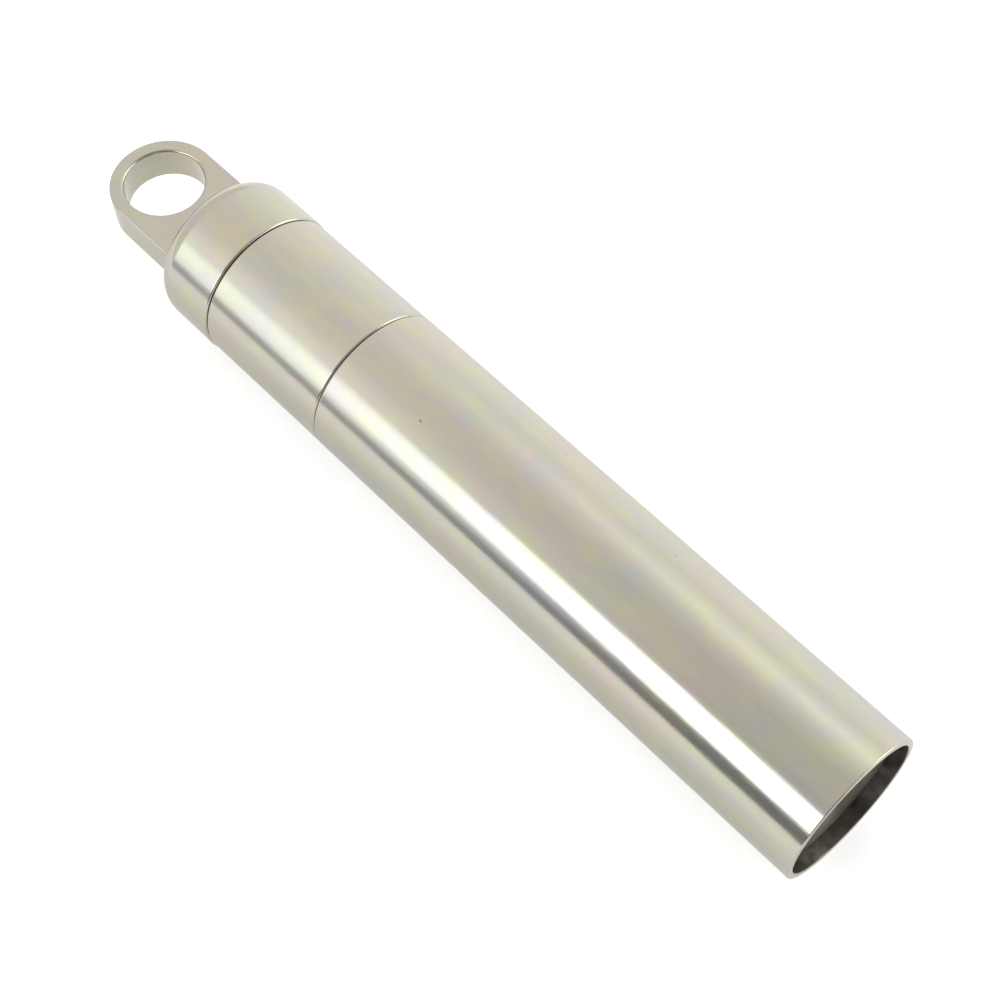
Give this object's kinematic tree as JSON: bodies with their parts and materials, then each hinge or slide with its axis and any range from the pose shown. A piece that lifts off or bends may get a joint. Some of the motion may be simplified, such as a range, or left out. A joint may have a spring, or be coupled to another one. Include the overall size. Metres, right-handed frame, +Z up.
{
  "type": "cryptex",
  "caption": "Steel tube puzzle box: one blank ring turns between barrel and eye head, and at its one open position the head and message tube pull out.",
  "frame": {"origin": "on the ground under the middle of the length, with the object lying on its side", "axes": "+X along the axis from the eye to the open end, +Z up, square to the eye's flat faces"},
  "size_m": [0.1872, 0.0304, 0.0303],
  "materials": {
    "plated_steel": "turned, fine polished, clear-passivated zinc plate",
    "bare_steel": "turned and oiled",
    "spring_steel": "hardened and blackened",
    "brass": "turned",
    "nylon": "moulded",
    "rubber": "moulded"
  },
  "bodies": {
    "barrel": {"barrel_tube": "plated_steel", "bottom_plug": "bare_steel", "bottom_plug_seal": "rubber", "guide_sleeve": "bare_steel", "sleeve_lock_nut": "brass", "sleeve_dowel": "bare_steel", "ring_snap_ring": "spring_steel", "detent_spring_1": "spring_steel", "detent_spring_2": "spring_steel", "detent_spring_3": "spring_steel"},
    "dial": {"dial_ring": "plated_steel", "dial_bush": "nylon", "gate_ring": "brass", "gate_dowel": "bare_steel", "gate_snap_ring": "spring_steel"},
    "core": {"eye_head": "plated_steel", "head_seal": "rubber", "core_tube": "bare_steel", "core_top_plug": "bare_steel", "head_bolt": "spring_steel", "head_bolt_washer": "spring_steel", "key_pin_1": "bare_steel", "key_pin_2": "bare_steel", "key_pin_3": "bare_steel"},
    "stopper": {"tube_stopper": "brass", "stopper_seal": "rubber"},
    "detent_1": {"detent_ball_1": "bare_steel"},
    "detent_2": {"detent_ball_2": "bare_steel"},
    "detent_3": {"detent_ball_3": "bare_steel"}
  },
  "joints": [
    {"name": "dial_turn", "type": "hinge", "parent": "barrel", "child": "dial", "pos_m": [-0.03687, 0, 0.01515], "axis": [1, 0, 0], "continuous": true},
    {"name": "core_pull", "type": "slide", "parent": "barrel", "child": "core", "axis": [-1, 0, 0], "range_m": [0, 0.14]},
    {"name": "stopper_pull", "type": "slide", "parent": "core", "child": "stopper", "axis": [1, 0, 0], "range_m": [0, 0.009]},
    {"name": "detent_ball_1_press", "type": "slide", "parent": "barrel", "child": "detent_1", "axis": [1, 0, 0], "range_m": [0, 0.00025], "stiffness_N_per_m": 400, "springref_m": -0.0005},
    {"name": "detent_ball_2_press", "type": "slide", "parent": "barrel", "child": "detent_2", "axis": [1, 0, 0], "range_m": [0, 0.00025], "stiffness_N_per_m": 400, "springref_m": -0.0005},
    {"name": "detent_ball_3_press", "type": "slide", "parent": "barrel", "child": "detent_3", "axis": [1, 0, 0], "range_m": [0, 0.00025], "stiffness_N_per_m": 400, "springref_m": -0.0005}
  ],
  "couplings": [
    {"joint": "detent_ball_2_press", "follows": "detent_ball_1_press", "ratio": 1},
    {"joint": "detent_ball_3_press", "follows": "detent_ball_1_press", "ratio": 1}
  ]
}
